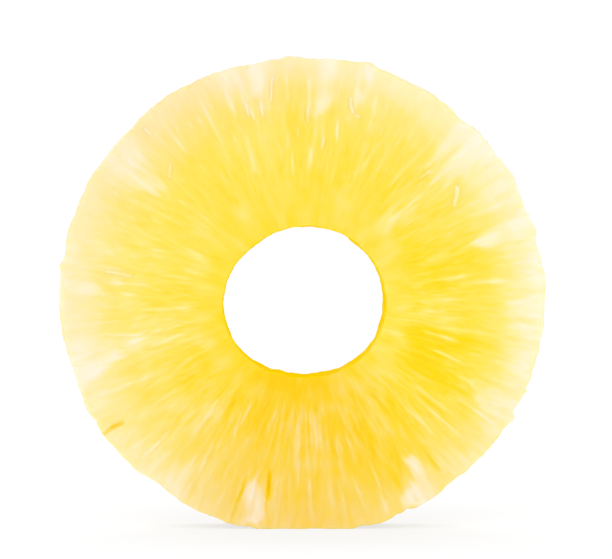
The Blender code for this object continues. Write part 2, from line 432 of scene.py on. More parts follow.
FIBRE_WIDTH = 0.8  # real fibres are half as wide, which would be too fine to show
FIBRE_LENGTH = 4.2
SAC_WIDTH = 0.65
SAC_LENGTH = 2.4
WALL_GRAIN = 1.0  # size of the same fibres through the slice's thickness

LOOSE_RAYS = 170  # long fibres at random on each face, beside the listed ones
STRAND_STEPS = 15  # points along each strand
STRAND_SIDES = 10  # points round it
STRAND_FLATNESS = 0.16  # a strand's half-height against its half-width
STRAND_SUNK = 0.55  # how deep its middle lies in the flesh, against its half-height
BUMP_HEIGHT = 0.05  # of the finest fibres, which are too small for the mesh
GLOW_DEPTH = 1.2  # how far light spreads in the flesh before it comes out again

# Heights of the patterns over the plain slice, and how ragged its edges are.
FIBRE_HEIGHT = 0.025
THICK_FIBRE_HEIGHT = 0.035
RAY_HEIGHT = 0.25
PULP_HEIGHT = 0.025
SWELL_HEIGHT = 0.09
WALL_CELL_HEIGHT = 0.07
WALL_GRIT_HEIGHT = 0.025
RAGGED_RIM = 0.06
FINE_RAGGED_RIM = 0.04
RAGGED_HOLE = 0.05

# How much each pattern changes the ripeness.
FIBRE_TINT = 0.018
THICK_FIBRE_TINT = 0.028
BLOTCH_TINT = 0.05
PULP_TINT = 0.018
CORE_PULP_TINT = 0.030
WALL_CELL_TINT = 0.06
WALL_GRIT_TINT = 0.04
RIM_TINT = 0.10  # what the rim gains by a quarter of the way through the slice
FLAME_TINT = 0.85  # the share of the yellow that the palest flame takes away

# Painted shade: how far the splits and the hole's wall turn deep gold.
SHADE_GOLD_IN_SPLITS = 4.5  # for each mm of a split's depth
SHADE_GOLD_ON_WALL = 0.88


def rise(value, start, end):
    """0 below start and 1 above end, with an S curve between: 3t^2 - 2t^3."""
    share = np.clip((value - start) / (end - start), 0.0, 1.0)
    return share * share * (3.0 - 2.0 * share)


def bell(value, half_width):
    """A bell curve: 1 at 0, and 0.37 at the half-width."""
    return np.exp(-((value / half_width) ** 2))


def degrees_from(angle, degrees):
    """Turn from a direction to each angle, in degrees between -180 and 180."""
    return (np.degrees(angle) - degrees + 180.0) % 360.0 - 180.0


# ---------------------------------------------------------------- the ring's surface


def rim_radius(angle, marks):
    """Radius of the rim: a near circle with its marks, each a bell curve, cut off at the flat spot.

    The circle has an oval and a three-sided lobe, and a small arc blends it into the flat spot.
    """
    radius = RING_RADIUS + RIM_OVAL * np.cos(2 * angle)
    radius = radius + RIM_LOBE * np.cos(3 * (angle - np.radians(RIM_LOBE_ANGLE)))
    for degrees, height, half_width in marks:
        radius = radius + height * bell(degrees_from(angle, degrees), half_width)
    down = np.maximum(-np.sin(angle), 1e-6)
    flat = (RING_RADIUS - FLAT_DEPTH) / down
    near = np.clip(FLAT_BLEND - np.abs(radius - flat), 0.0, None) / FLAT_BLEND
    return np.minimum(radius, flat) - near**2 * FLAT_BLEND / 4


def hole_radius(angle):
    """Radius of the hole about its own middle: a circle with an oval and a three-sided lobe."""
    oval = HOLE_OVAL * np.cos(2 * (angle - np.radians(HOLE_OVAL_ANGLE)))
    lobe = HOLE_LOBE * np.cos(3 * (angle - np.radians(HOLE_LOBE_ANGLE)))
    return HOLE_RADIUS + oval + lobe


def cross_section():
    """The slice cut from hole to rim: places (radius, depth) and the ways that they face.

    A quarter circle rounds each corner, and a straight run leads to the next one. It starts at the front
    of the rim, goes over the rim, down the back face, through the hole and up the front face.
    """
    half = THICKNESS / 2
    inner, outer = HOLE_RADIUS + EDGE_RADIUS, RING_RADIUS - EDGE_RADIUS
    front, back = EDGE_RADIUS - half, half - EDGE_RADIUS
    corners = (
        (outer, front, -90, RIM_ROWS),
        (outer, back, 0, BACK_ROWS),
        (inner, back, 90, HOLE_ROWS),
        (inner, front, 180, FRONT_ROWS),
    )
    places, facings = [], []
    for index, (across, depth, start, rows) in enumerate(corners):
        turn = np.radians(start + np.linspace(0, 90, EDGE_ROWS + 1))
        facing = np.stack([np.cos(turn), np.sin(turn)], 1)
        arc = (across, depth) + EDGE_RADIUS * facing
        next_centre = np.array(corners[(index + 1) % 4][:2])
        run = next_centre + EDGE_RADIUS * facing[-1] - arc[-1]
        share = np.linspace(0, 1, rows + 1)[1:-1, None]
        places += [arc, arc[-1] + run * share]
        facings += [facing, np.repeat(facing[-1:], rows - 1, 0)]
    return np.concatenate(places), np.concatenate(facings)


SECTION, FACING = cross_section()
ROWS = len(SECTION)
TO_NEXT = np.hypot(*(np.roll(SECTION, -1, 0) - SECTION).T)
ALONG = np.cumsum(TO_NEXT) - TO_NEXT  # distance round the cross-section
PERIMETER = TO_NEXT.sum()
ANGLE = np.linspace(0, 2 * np.pi, AROUND, endpoint=False)
SPOKE = np.stack([np.cos(ANGLE), np.sin(ANGLE)], 1)

FRONT = np.clip(-FACING[:, 1], 0, 1)[:, None]
BACK = np.clip(FACING[:, 1], 0, 1)[:, None]
RIM = np.clip(FACING[:, 0], 0, 1)[:, None]
HOLE = np.clip(-FACING[:, 0], 0, 1)[:, None]
FACES = np.maximum(FRONT, BACK)
EDGES = 2 * FACES * (RIM + HOLE)
THROUGH = SECTION[:, 1:] / THICKNESS + 0.5  # 0 at the front face and 1 at the back


def random_field(seed, length, width):
    """Random patches over the whole surface, with a mean near 0 and a spread of 1.

    They are about length mm long across the slice and width degrees wide round it: random numbers on a
    coarse grid, blurred with a bell curve both ways. Both ways close on themselves, so there is no seam.
    """
    count = int(np.ceil(2 * PERIMETER / length))
    noise = np.random.default_rng(seed).normal(size=(count, AROUND))
    waves = np.arange(AROUND // 2 + 1)
    blur = np.exp(-0.5 * (waves * np.radians(width)) ** 2)
    rounds = np.fft.irfft(np.fft.rfft(noise, axis=1) * blur, AROUND, axis=1)
    places = np.arange(count) * PERIMETER / count
    gap = (ALONG[:, None] - places + PERIMETER / 2) % PERIMETER - PERIMETER / 2
    field = np.exp(-0.5 * (gap / length) ** 2) @ rounds
    return field / field.std()


def sample(grid, row, column):
    """A grid's value between its points: the mean of the four nearest, each by how near it is."""
    first_row, first_column = np.floor(row).astype(int), np.floor(column).astype(int)
    row_share, column_share = row - first_row, column - first_column
    if grid.ndim == 3:
        row_share, column_share = row_share[..., None], column_share[..., None]
    rows = (first_row % ROWS, (first_row + 1) % ROWS)
    columns = (first_column % AROUND, (first_column + 1) % AROUND)
    near, far = [
        (1 - column_share) * grid[at, columns[0]] + column_share * grid[at, columns[1]] for at in rows
    ]
    return (1 - row_share) * near + row_share * far


def bent(field, turn):
    """The field slid round the ring by a number of degrees that differs from place to place."""
    row, column = np.meshgrid(np.arange(ROWS), np.arange(AROUND), indexing="ij")
    return sample(field, row, column + turn * AROUND / 360)


def flat_places():
    """X and Z of every grid point: a straight line from the hole's edge to the rim's, for each angle.

    Both edges are a little ragged, and the rim's fine marks have faded out halfway through the slice.
    """
    share = ((SECTION[:, 0] - HOLE_RADIUS) / (RING_RADIUS - HOLE_RADIUS))[:, None, None]
    ragged = RAGGED_RIM * random_field(11, 1.4, 1.1) + FINE_RAGGED_RIM * random_field(12, 0.9, 0.5)
    plain, nicked = rim_radius(ANGLE, RIM_MARKS), rim_radius(ANGLE, RIM_MARKS + FINE_RIM_MARKS)
    radius = plain + (nicked - plain) * (1 - rise(THROUGH, 0.05, 0.5)) + ragged
    rim = radius[..., None] * SPOKE
    inner = hole_radius(ANGLE) + RAGGED_HOLE * random_field(13, 1.2, 2.5)
    hole = inner[..., None] * SPOKE + HOLE_SHIFT
    return hole + share * (rim - hole)


def stroke(x, z, angles, radii, half_width):
    """A straight mark between two places: a bell curve across it, and an arch from end to end."""
    turns = np.radians(angles)
    ends_x, ends_z = radii * np.cos(turns), radii * np.sin(turns)
    run_x, run_z = np.diff(ends_x)[0], np.diff(ends_z)[0]
    length = np.hypot(run_x, run_z)
    away_x, away_z = x - ends_x.mean(), z - ends_z.mean()
    along = (away_x * run_x + away_z * run_z) / length
    aside = (away_z * run_x - away_x * run_z) / length
    arch = np.clip(1 - (2 * along / length) ** 2, 0, None) ** 0.6
    return arch * bell(aside, half_width)


def flame(angle, radius, flame_angles, flame_radii, half_widths):
    """A petal with a slanted middle line: blunt at its inner tip, and wider towards the rim.

    Across it runs exp(-|t|^3). S curves fade it in over 2.6 mm at the tip and out over 1 mm at the end.
    """
    share = np.clip((radius - flame_radii[0]) / (flame_radii[1] - flame_radii[0]), 0, 1)
    middle = flame_angles[0] + (flame_angles[1] - flame_angles[0]) * share
    half_width = half_widths[0] + (half_widths[1] - half_widths[0]) * share**0.6
    across = np.abs(degrees_from(angle - np.radians(middle), 0.0)) / half_width
    ends = rise(radius, flame_radii[0] - 0.6, flame_radii[0] + 2.0)
    ends = ends * (1 - rise(radius, flame_radii[1] - 0.5, flame_radii[1] + 0.5))
    return np.exp(-(across**3)) * ends


places = flat_places()
PLACE_X, PLACE_Z = places[..., 0], places[..., 1]
RADIUS = np.hypot(PLACE_X, PLACE_Z)
TRUE_ANGLE = np.arctan2(PLACE_Z, PLACE_X)

# Patterns in the flesh, from broad swells to fine grit. The drift bends both kinds of fibre.
swells = random_field(24, 5.0, 11.0)
drift = random_field(27, 3.0, 4.5)
fibres = bent(random_field(21, 2.2, 0.45), 0.4 * drift)
thick_fibres = bent(random_field(22, 3.0, 1.1), -0.4 * drift)
pulp = random_field(23, 0.9, 1.7)
cells = random_field(25, 1.8, 3.4)
wall_grit = random_field(26, 0.7, 0.9)

# Where the long fibres show, and where the short dabs between them do: both less in the core and near
# the rim. The fibres are strongest on the fibrous side, and the dabs opposite it.
to_fibrous_side = np.cos(TRUE_ANGLE - np.radians(FIBROUS_SIDE))
fibre_zone = FACES * (0.35 + 0.85 * rise(RADIUS, *CORE)) * (1 - 0.55 * rise(RADIUS, 22.0, 35.0))
fibre_zone = fibre_zone * (0.8 + 0.3 * to_fibrous_side)
dab_zone = FACES * rise(RADIUS, 14.0, 19.0) * (1 - 0.8 * rise(RADIUS, 31.0, 38.0))
dab_zone = dab_zone * (0.75 - 0.25 * to_fibrous_side)
fruitlet_turn = np.radians(FRUITLET_LEAN) * THROUGH


def crease_depths():
    """Depth of the splits and folds: the sum of their strokes on their own face, uneven with pulp."""
    depth = np.zeros_like(RADIUS)
    for side, start, start_radius, end, end_radius, half_width, deep in CREASES:
        face = FRONT if side < 0 else BACK
        wavy_x, wavy_z = PLACE_X + 0.12 * thick_fibres, PLACE_Z + 0.12 * pulp
        mark = stroke(wavy_x, wavy_z, (start, end), (start_radius, end_radius), half_width)
        depth += face * deep * mark
    return depth * np.clip(1 + 0.3 * pulp, 0.4, 1.6)


def ray(angles, radii, half_width):
    """A thin straight mark on the flat faces: a bell curve across it, and 1 - |2t - 1|^3 along it."""
    share = np.clip((RADIUS - radii[0]) / (radii[1] - radii[0]), 0, 1)
    middle = np.radians(angles[0] + (angles[1] - angles[0]) * share)
    aside = np.radians(degrees_from(TRUE_ANGLE - middle, 0.0)) * RADIUS
    return bell(aside, half_width) * (1 - np.abs(2 * share - 1) ** 3)


def ray_strengths():
    """How much paler long fibres make each place.

    The sum of the listed rays on the front and of random ones on both faces, uneven with pulp.
    """
    pale = np.zeros_like(RADIUS)
    for start, start_radius, end, end_radius, half_width, strength in RAYS:
        pale += strength * FRONT * ray((start, end), (start_radius, end_radius), half_width)
    for seed, face in ((61, FRONT), (62, BACK)):
        draw = np.random.default_rng(seed)
        for _ in range(LOOSE_RAYS):
            start = draw.uniform(0, 360)
            inner = draw.uniform(18.0, 31.0)
            radii = (inner, inner + draw.uniform(4.0, 11.0))
            strength = draw.uniform(-0.08, 0.13) * (0.8 + 0.3 * np.cos(np.radians(start - FIBROUS_SIDE)))
            ends = (start, start + draw.normal(0, 1.0))
            pale += strength * face * ray(ends, radii, draw.uniform(0.2, 0.4))
    return pale * np.clip(1 + 0.4 * pulp, 0.2, 1.8)


creases = crease_depths()
rays = ray_strengths()


def relief():
    """Height of the surface over the plain slice: fibres and pulp on the faces, cells on the walls."""
    faces = fibre_zone * (FIBRE_HEIGHT * fibres + THICK_FIBRE_HEIGHT * thick_fibres) + RAY_HEIGHT * rays
    faces = faces + FACES * (PULP_HEIGHT * pulp + SWELL_HEIGHT * swells)
    walls = (RIM + HOLE) * (WALL_CELL_HEIGHT * cells + WALL_GRIT_HEIGHT * wall_grit)
    return faces + walls - creases


def pale_share():
    """How far the flesh turns from yellow to cream: the flames, ragged where fibres run into them.

    Each flame takes its share of the yellow that the others leave.
    """
    radius = RADIUS + 0.7 * fibres + 0.8 * thick_fibres + 0.6 * pulp
    angle = TRUE_ANGLE + fruitlet_turn + np.radians(0.4) * pulp + np.radians(0.4) * drift
    streaky = np.clip(1 + FACES * (0.18 * thick_fibres + 0.16 * fibres + 0.18 * pulp), 0.4, 1.2)
    pale = np.zeros_like(RADIUS)
    for tip, tip_radius, end, end_radius, tip_width, end_width, strength in FLAMES:
        mask = flame(angle, radius, (tip, end), (tip_radius, end_radius), (tip_width, end_width))
        pale = 1 - (1 - pale) * (1 - strength * mask)
    return np.clip(pale * streaky, 0, 1)


def side_values():
    """How much riper each place is for its side of the slice, and how warm its yellow is.
    Both are partly painted shade at the bottom, and so is the warmth on the upper left rim.

    Straight lines lead from one listed side to the next, and from the hole to halfway and on to the rim.
    """
    listed = np.array(SIDES).T
    at = np.degrees(TRUE_ANGLE) % 360
    values = [np.interp(at, listed[0], row, period=360) for row in listed[1:]]
    near, half, rim, near_warm, rim_warm = values
    inner = np.clip((RADIUS - HOLE_RADIUS) / (HALFWAY - HOLE_RADIUS), 0, 1)
    outer = np.clip((RADIUS - HALFWAY) / (RING_RADIUS - 2 - HALFWAY), 0, 1)
    riper = near + (half - near) * inner + (rim - half) * outer
    return riper, near_warm + (rim_warm - near_warm) * outer


side_ripeness, side_warmth_and_shade = side_values()


def ripeness():
    """How yellow the flesh is, from cream (0) to golden (1).

    The listed value for the radius and what the side adds to it, with clouds, blotches, pulp, fibres and
    rays added or taken off. The walls get patches of their own, and the pale flames wash all of it out.
    """
    radii, values = np.array(RIPENESS).T
    ripe = np.interp(RADIUS, radii, values) + side_ripeness
    streaky = np.clip(1 + FACES * (0.24 * fibres + 0.26 * thick_fibres), 0.3, 1.8)
    for degrees, radius, half_width, half_length, strength in CLOUDS:
        across = streaky * bell(degrees_from(TRUE_ANGLE + fruitlet_turn, degrees), half_width)
        patch = strength * across * bell(RADIUS - radius, half_length)
        if strength < 0 and radius > CORE[1]:
            patch = patch * rise(RADIUS, *CORE)
        ripe = ripe - patch
    blotchy = 1.1 + 0.28 * to_fibrous_side
    mottling = PULP_TINT + CORE_PULP_TINT * blotchy * (1 - rise(RADIUS, 18.0, 23.0))
    ripe = ripe + BLOTCH_TINT * blotchy * FACES * cells * (1 - rise(RADIUS, *CORE))
    ripe = ripe - fibre_zone * (FIBRE_TINT * fibres + THICK_FIBRE_TINT * thick_fibres)
    ripe = ripe - mottling * FACES * pulp - rays
    ripe = ripe + (RIM + HOLE) * (WALL_CELL_TINT * cells + WALL_GRIT_TINT * wall_grit)
    ripe = ripe + RIM_TINT * RIM * rise(THROUGH, 0.02, 0.25)
    return np.clip(ripe, 0, 1.05) * (1 - FLAME_TINT * pale_share())


def gold_and_painted_shade():
    """Where painted shade turns the flesh deep gold: in the splits, and on the hole's wall.

    The gold reaches further onto the wall's rounded edge at the bottom than at the top.
    """
    wall = HOLE ** (3 - 2.2 * to_fibrous_side)
    patchy = SHADE_GOLD_ON_WALL + 0.09 * cells + 0.05 * wall_grit
    return np.clip(SHADE_GOLD_IN_SPLITS * creases + wall * patchy, 0, 0.97)


def grain_places(width, length, turn):
    """Where each point lies in the fibres' own space, so that a plain noise there becomes fibres.

    The angle is wrapped on a circle whose radius is the number of fibres in a radian, halfway to the
    rim. The radius is divided by the fibres' length, and depth is added, so that the faces and walls
    differ. The turn, in degrees, bends them.
    """
    angle = TRUE_ANGLE + np.radians(turn)
    height = RADIUS / length + SECTION[:, 1:] / WALL_GRAIN
    return np.stack([HALFWAY / width * np.cos(angle), HALFWAY / width * np.sin(angle), height], -1)


def ring_points():
    """The surface in the frame: the plain slice, moved by its relief the way that each point faces.

    Nothing goes below the floor, so the flat spot stays flat. The frame's X is 0 midway between the left
    and the right of the outline.
    """
    height = relief()
    x = PLACE_X + height * FACING[:, :1] * SPOKE[:, 0]
    z = PLACE_Z + height * FACING[:, :1] * SPOKE[:, 1]
    y = SECTION[:, 1:] + height * FACING[:, 1:]
    outline = rim_radius(ANGLE, RIM_MARKS)[:, None] * SPOKE
    axis_x = -(outline[:, 0].max() + outline[:, 0].min()) / 2
    axis_z = RING_RADIUS - FLAT_DEPTH
    lifted = np.maximum(z + axis_z, 0.0)
    return np.stack([x + axis_x, y, lifted], -1)


def ring_quads():
    """Corners of each face of a grid that closes on itself both ways."""
    row, column = np.meshgrid(np.arange(ROWS), np.arange(AROUND), indexing="ij")
    next_row, next_column = (row + 1) % ROWS, (column + 1) % AROUND
    corners = [(row, column), (next_row, column), (next_row, next_column), (row, next_column)]
    return np.stack([r * AROUND + c for r, c in corners], -1).reshape(-1, 4)


SURFACE = ring_points()

# What the flesh's material reads at each point: its place among the long and the short fibres, how ripe,
# how warm and how gold it is, and how much the long fibres and the short dabs show there. Warmth and
# gold
# carry painted shade: warmth at the bottom and on the rim's rounded edge, gold in the splits and on the
# hole's wall.
LOOKS = {
    "grain": grain_places(FIBRE_WIDTH, FIBRE_LENGTH, 0.4 * drift + 0.3 * swells),
    "cross_grain": grain_places(SAC_WIDTH, SAC_LENGTH, 0.3 * swells - 0.7 * drift),
    "ripe": ripeness()[..., None],
    # Painted shade: the warmth rises on the rim's rounded edges, which turn away from the light.
    "warm": np.clip(side_warmth_and_shade * (1 + EDGES * RIM), 0, 1)[..., None],
    "gold": gold_and_painted_shade()[..., None],
    "zone": fibre_zone[..., None],
    "dabs": dab_zone[..., None],
}


# ---------------------------------------------------------------- strands that lie on the front


def grid_places(angle, radius):
    """Row and column of the ring's grid for places on the front, given by true angle and radius.

    The grid's lines run from the shifted hole to the rim, so the shift's part at each place is taken
    off, a few times over, until the share of the way to the rim no longer changes.
    """
    x, z = radius * np.cos(angle), radius * np.sin(angle)
    share = (radius - HOLE_RADIUS) / (RING_RADIUS - HOLE_RADIUS)
    for _ in range(4):
        plain_x, plain_z = x - (1 - share) * HOLE_SHIFT[0], z - (1 - share) * HOLE_SHIFT[1]
        turn = np.arctan2(plain_z, plain_x)
        start = hole_radius(turn)
        share = (np.hypot(plain_x, plain_z) - start) / (rim_radius(turn, RIM_MARKS) - start)
    rows = np.flatnonzero(FRONT[:, 0] > 0.999)
    across = SECTION[rows, 0]
    order = np.argsort(across)
    wanted = HOLE_RADIUS + share * (RING_RADIUS - HOLE_RADIUS)
    return np.interp(wanted, across[order], rows[order]), turn / (2 * np.pi) * AROUND


def strand_points(paths, half_widths):
    """Points of closed, tapered tubes: an oval carried along each path, and a point at both ends.

    The oval's size follows the fourth root of an arch. Its long axis lies flat on the face, and its
    middle is sunk into the flesh, so that only a gentle cap shows.
    """
    t = np.linspace(-1, 1, STRAND_STEPS)[1:-1]
    taper = ((1 - t**2) ** 0.25)[None, :, None, None]
    turn = np.linspace(0, 2 * np.pi, STRAND_SIDES, endpoint=False)
    ahead = paths[:, 2:] - paths[:, :-2]
    ahead /= np.linalg.norm(ahead, axis=-1, keepdims=True)
    outward = np.array([0.0, -1.0, 0.0])
    aside = np.cross(outward, ahead)[:, :, None, :]
    flat = half_widths[:, None, None, None] * np.cos(turn)[:, None] * aside
    half_heights = STRAND_FLATNESS * half_widths[:, None, None, None]
    tall = half_heights * (np.sin(turn)[:, None] - STRAND_SUNK) * outward
    ovals = paths[:, 1:-1, None, :] + taper * (flat + tall)
    tips = paths[:, [0, -1]]
    return np.concatenate([ovals.reshape(len(paths), -1, 3), tips], 1)


def strand_faces(count):
    """Faces of the tubes: quads from oval to oval, and a fan of triangles to the point at each end."""
    last_oval = STRAND_STEPS - 3
    oval, corner = np.meshgrid(np.arange(last_oval), np.arange(STRAND_SIDES), indexing="ij")
    after = (corner + 1) % STRAND_SIDES
    first, second = oval * STRAND_SIDES, (oval + 1) * STRAND_SIDES
    quads = np.stack([first + corner, first + after, second + after, second + corner], -1)
    start_tip = (STRAND_STEPS - 2) * STRAND_SIDES
    end_tip = start_tip + 1
    edge, edge_after = corner[0], after[0]
    last = last_oval * STRAND_SIDES
    starts = np.stack([np.full(STRAND_SIDES, start_tip), edge_after, edge], -1)
    ends = np.stack([np.full(STRAND_SIDES, end_tip), last + edge, last + edge_after], -1)
    offsets = (np.arange(count) * (end_tip + 1))[:, None, None]
    parts = (quads.reshape(-1, 4), np.concatenate([starts, ends]))
    return [(part + offsets).reshape(-1, part.shape[1]) for part in parts]


def build_strands():
    """Lays the listed strands on the front, half buried, with the flesh's own colour made lighter.
    The lighter colour is partly pale fibre and partly a painted glint of the juice on it.

    Each path is the straight line between its ends in angle and radius, bowed aside by an arch.
    """
    angles, radii, more_angles, more_radii, bends, half_widths, lights = np.array(STRANDS).T[:, :, None]
    t = np.linspace(0, 1, STRAND_STEPS)
    radius = radii + (more_radii - radii) * t
    angle = np.radians(angles + (more_angles - angles) * t) + bends * 4 * t * (1 - t) / radius
    row, column = grid_places(angle, radius)
    points = strand_points(sample(SURFACE, row, column), half_widths[:, 0])
    piece = new_piece("front_strands", points.reshape(-1, 3), *strand_faces(len(points)))
    for look, grid in LOOKS.items():
        values = sample(grid, row, column)
        if look == "ripe":
            # Painted glint: the strands' lighter colour is partly light glinting on their wet film.
            values = np.clip(values - lights[..., None], 0.02, 1)
        ovals = np.repeat(values[:, 1:-1], STRAND_SIDES, 1)
        store(piece, look, np.concatenate([ovals, values[:, [0, -1]]], 1))
    finish_piece(piece, fibre_look)


# ---------------------------------------------------------------- pieces and materials


def new_piece(name, points, *faces):
    """A mesh object from points in millimetres and arrays of faces, each with one number of corners."""
    corners = np.concatenate([part.ravel() for part in faces])
    sizes = np.concatenate([np.full(len(part), part.shape[1]) for part in faces])
    mesh = bpy.data.meshes.new(name)
    mesh.vertices.add(len(points))
    mesh.vertices.foreach_set("co", (points * MM).astype(np.float32).ravel())
    mesh.loops.add(len(corners))
    mesh.loops.foreach_set("vertex_index", corners.astype(np.int32))
    mesh.polygons.add(len(sizes))
    mesh.polygons.foreach_set("loop_start", (np.cumsum(sizes) - sizes).astype(np.int32))
    mesh.update(calc_edges=True)
    mesh.validate()
    piece = bpy.data.objects.new(name, mesh)
    bpy.context.scene.collection.objects.link(piece)
    return piece


def store(piece, name, values):
    """Keeps one number or one vector for each point of a piece, for its material to read."""
    vector = values.shape[-1] == 3
    kind, field = ("FLOAT_VECTOR", "vector") if vector else ("FLOAT", "value")
    attribute = piece.data.attributes.new(name, kind, "POINT")
    attribute.data.foreach_set(field, values.astype(np.float32).ravel())


def finish_piece(piece, *materials):
    """Gives a piece its materials, and marks it as part of the ring's one body."""
    for material in materials:
        piece.data.materials.append(material)
    piece.data.shade_smooth()
    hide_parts("pineapple_ring")
    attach(piece, "root")


def to_linear(code):
    """An sRGB hex value as linear red, green, blue and alpha."""
    values = np.array([int(code[i : i + 2], 16) for i in (0, 2, 4)]) / 255
    linear = np.where(values <= 0.04045, values / 12.92, ((values + 0.055) / 1.055) ** 2.4)
    return (*linear.tolist(), 1.0)


def add_node(tree, kind, inputs=None, stops=None, **settings):
    """Adds a node. An input takes a value or another node's output. Stops are a ramp's hex colours."""
    node = tree.nodes.new(kind)
    for name, value in settings.items():
        setattr(node, name, value)
    for name, value in (inputs or {}).items():
        if isinstance(value, bpy.types.NodeSocket):
            tree.links.new(value, node.inputs[name])
        else:
            node.inputs[name].default_value = value
    if stops:
        ramp = node.color_ramp
        while len(ramp.elements) < len(stops):
            ramp.elements.new(1.0)
        for element, (position, code) in zip(ramp.elements, stops):
            element.position = position
            element.color = to_linear(code)
    return node


def set_sockets(shader, values):
    """Sets a shader's own sockets to values that are the same all over."""
    for name, value in values.items():
        shader.inputs[name].default_value = value


def streaked_ripeness(tree, looks):
    """The stored ripeness, shifted up and down by fibres, and down in juice sacs cut open.

    The sacs' light cores are partly paler flesh and partly painted glints of the juice film.
    """
    grain, cross_grain = looks["grain"].outputs["Vector"], looks["cross_grain"].outputs["Vector"]
    long_and_short = []
    for fibre_space, detail in ((grain, 1.2), (cross_grain, 1.0)):
        inputs = {"Vector": fibre_space, "Scale": 1.0, "Detail": detail, "Roughness": 0.5}
        long_and_short.append(add_node(tree, "ShaderNodeTexNoise", inputs).outputs["Fac"])
    inputs = dict(enumerate(long_and_short))
    both = add_node(tree, "ShaderNodeMath", inputs, operation="ADD").outputs[0]
    limits = {"Value": both, "From Min": 0.65, "From Max": 1.35, "To Min": 0.13, "To Max": -0.15}
    change = add_node(tree, "ShaderNodeMapRange", limits).outputs["Result"]
    inputs = {0: change, 1: looks["zone"].outputs["Fac"], 2: looks["ripe"].outputs["Fac"]}
    fibrous = add_node(tree, "ShaderNodeMath", inputs, operation="MULTIPLY_ADD").outputs[0]

    # A few cells of the fibres' own pattern are sacs, which show a light core: partly paler flesh and
    # partly a painted glint of juice.
    sacs = add_node(tree, "ShaderNodeTexVoronoi", {"Vector": cross_grain, "Scale": 1.1})
    limits = {
        "Value": sacs.outputs["Distance"],
        "From Min": 0.08,
        "From Max": 0.50,
        "To Min": -0.17,
        "To Max": 0.0,
    }
    pale_core_and_glint = add_node(tree, "ShaderNodeMapRange", limits).outputs["Result"]
    limits = {"Value": sacs.outputs["Color"], "From Min": 0.55, "From Max": 0.85}
    chosen = add_node(tree, "ShaderNodeMapRange", limits).outputs["Result"]
    inputs = {0: chosen, 1: looks["dabs"].outputs["Fac"]}
    shown = add_node(tree, "ShaderNodeMath", inputs, operation="MULTIPLY").outputs[0]
    inputs = {0: pale_core_and_glint, 1: shown, 2: fibrous}
    return add_node(tree, "ShaderNodeMath", inputs, operation="MULTIPLY_ADD").outputs[0]


def flesh_colour(tree, looks):
    """Cream to golden by ripeness, warmer on the ripe side, and deep gold in splits and on the wall.

    The warmer yellow is partly painted shade, and the deep gold is painted shade and painted light that
    has gone through more flesh.
    """
    ripe = streaked_ripeness(tree, looks)
    plain = add_node(tree, "ShaderNodeValToRGB", {"Fac": ripe}, stops=FLESH_COLOURS).outputs["Color"]
    # The warmer ramp is partly painted shade at the bottom of the slice.
    warmer = add_node(tree, "ShaderNodeValToRGB", {"Fac": ripe}, stops=WARM_SHADED_COLOURS).outputs["Color"]
    inputs = {0: looks["warm"].outputs["Fac"], 6: plain, 7: warmer}
    colour = add_node(tree, "ShaderNodeMix", inputs, data_type="RGBA").outputs[2]
    # Painted shade and light through flesh turn the splits and the hole's wall deep gold.
    inputs = {0: looks["gold"].outputs["Fac"], 6: colour, 7: to_linear(SHADED_DEEP_GOLD)}
    return add_node(tree, "ShaderNodeMix", inputs, data_type="RGBA").outputs[2]


def juice_film(tree, looks):
    """The juice film's roughness and normal: streaky with fibres, and duller where the gold is painted.
    """
    inputs = {"Vector": looks["grain"].outputs["Vector"], "Scale": 2.4, "Detail": 2.0}
    fine = add_node(tree, "ShaderNodeTexNoise", inputs).outputs["Fac"]
    limits = {"Value": fine, "From Min": 0.3, "From Max": 0.7, "To Min": 0.28, "To Max": 0.44}
    film = add_node(tree, "ShaderNodeMapRange", limits).outputs["Result"]
    inputs = {0: looks["gold"].outputs["Fac"], 1: 0.55, 2: film}
    dullness = add_node(tree, "ShaderNodeMath", inputs, operation="MULTIPLY_ADD").outputs[0]
    inputs = {"Height": fine, "Strength": 1.0, "Distance": BUMP_HEIGHT * MM}
    return dullness, add_node(tree, "ShaderNodeBump", inputs).outputs["Normal"]


def flesh_material(name, glow, gloss):
    """Pineapple flesh, cut with a knife and wet with its own juice.

    Real flesh lets light in for a few millimetres, red furthest, which gives the glow. Its fibres and
    sacs show as streaks, and the juice film as a soft gloss.
    """
    material = bpy.data.materials.new(name)
    material.use_nodes = True
    tree = material.node_tree
    shader = tree.nodes["Principled BSDF"]
    looks = {look: add_node(tree, "ShaderNodeAttribute", attribute_name=look) for look in LOOKS}
    dullness, normal = juice_film(tree, looks)
    tree.links.new(flesh_colour(tree, looks), shader.inputs["Base Color"])
    tree.links.new(dullness, shader.inputs["Roughness"])
    tree.links.new(normal, shader.inputs["Normal"])
    values = {
        "IOR": 1.36,
        "Specular IOR Level": gloss,
        "Subsurface Weight": glow,
        "Subsurface Radius": (1.0, 0.8, 0.4),
        "Subsurface Scale": GLOW_DEPTH * MM,
    }
    set_sockets(shader, values)
    return material


# For the cut faces and the rim, for the torn wall of the hole, and for the strands.
flesh_look = flesh_material("wet_pineapple_flesh", glow=0.6, gloss=0.2)
wall_look = flesh_material("cored_pineapple_flesh", glow=0.6, gloss=0.0)
fibre_look = flesh_material("wet_pineapple_fibre", glow=0.0, gloss=0.15)


def build_ring():
    """The whole slice: one closed grid, whose hole has the dull look of torn flesh."""
    piece = new_piece("ring_flesh", SURFACE.reshape(-1, 3), ring_quads())
    for look, grid in LOOKS.items():
        store(piece, look, grid)
    finish_piece(piece, flesh_look, wall_look)
    torn = np.broadcast_to(HOLE > 0.99, RADIUS.shape)
    piece.data.polygons.foreach_set("material_index", torn.astype(np.int32).ravel())


# ---------------------------------------------------------------- the studio

